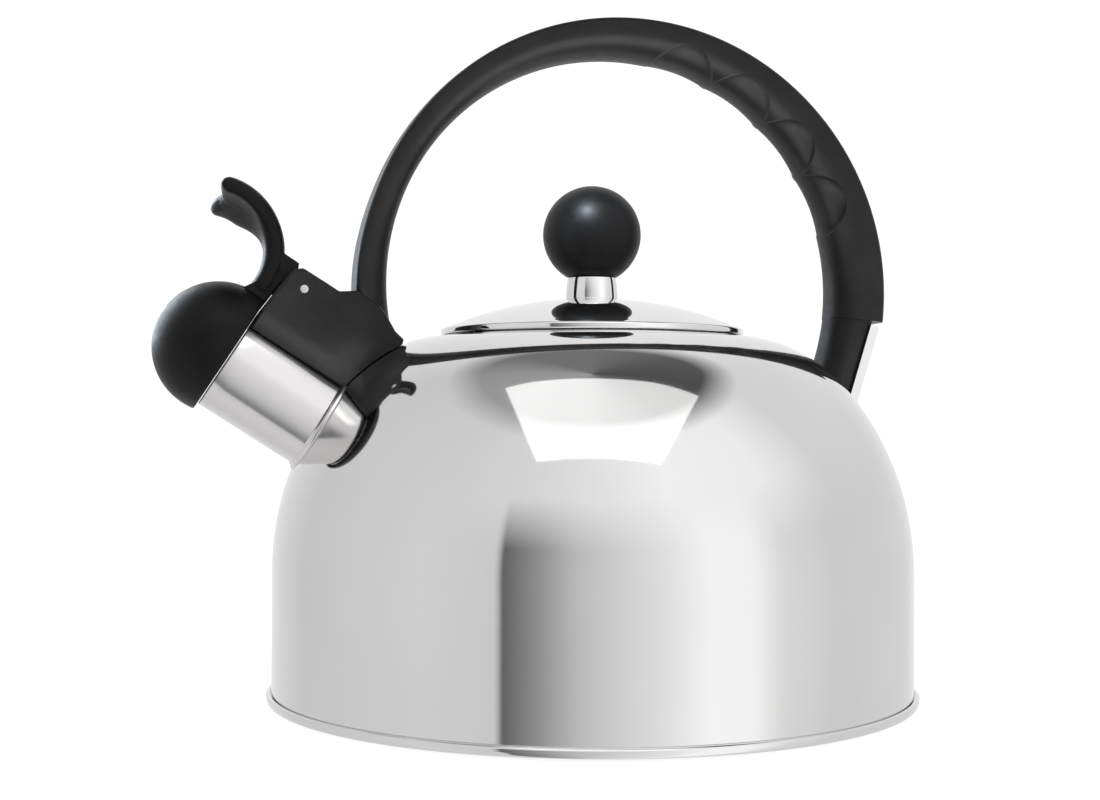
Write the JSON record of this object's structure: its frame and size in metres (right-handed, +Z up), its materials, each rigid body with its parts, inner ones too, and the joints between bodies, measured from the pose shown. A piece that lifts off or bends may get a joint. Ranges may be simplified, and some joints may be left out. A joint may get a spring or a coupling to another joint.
{
  "type": "stovetop whistling kettle",
  "caption": "Domed stovetop kettle with an arched fixed handle, lift-off lid with a ball knob and a thumb-lever whistle cap hinged over the spout.",
  "frame": {"origin": "centre of the flat underside that rests on the hob", "axes": "+Z up; the spout points along -X and the arched handle lies in the XZ plane"},
  "size_m": [0.221, 0.1894, 0.2003],
  "materials": {
    "polished_steel": "polished stainless steel",
    "mirror_steel": "mirror polished stainless steel",
    "satin_steel": "satin",
    "brushed_steel": "brushed",
    "chrome": "chromed",
    "fastener_steel": "plain steel",
    "spring_steel": "drawn wire",
    "aluminium": "plain",
    "brass": "turned",
    "phenolic": "black moulded phenolic, matt"
  },
  "bodies": {
    "kettle": {"body_shell": "polished_steel", "base_pan": "polished_steel", "heat_spreader": "aluminium", "base_cover": "brushed_steel", "spout_tube": "satin_steel", "spout_collar": "satin_steel", "handle": "phenolic", "front_saddle": "fastener_steel", "front_screw": "fastener_steel", "rear_bracket": "satin_steel", "rear_insert": "brass", "rear_screw": "fastener_steel", "hinge_pin": "fastener_steel", "hinge_spring": "spring_steel"},
    "lid": {"lid_shell": "mirror_steel", "lid_skirt": "brushed_steel", "knob_ferrule": "chrome", "knob_ball": "phenolic", "knob_insert": "brass", "knob_washer": "fastener_steel", "knob_screw": "fastener_steel"},
    "whistle": {"whistle_cap": "phenolic", "whistle_ring": "aluminium", "whistle_front_disc": "aluminium", "whistle_back_disc": "aluminium"}
  },
  "joints": [
    {"name": "lid_lift", "type": "slide", "parent": "kettle", "child": "lid", "axis": [0, 0, 1], "range_m": [0, 0.03]},
    {"name": "whistle_hinge", "type": "hinge", "parent": "kettle", "child": "whistle", "pos_m": [-0.08528, 0, 0.11804], "axis": [0, 1, 0], "range_deg": [0, 50], "stiffness_Nm_per_rad": 0.08, "springref_deg": -20.05, "deforming": ["hinge_spring"]}
  ]
}
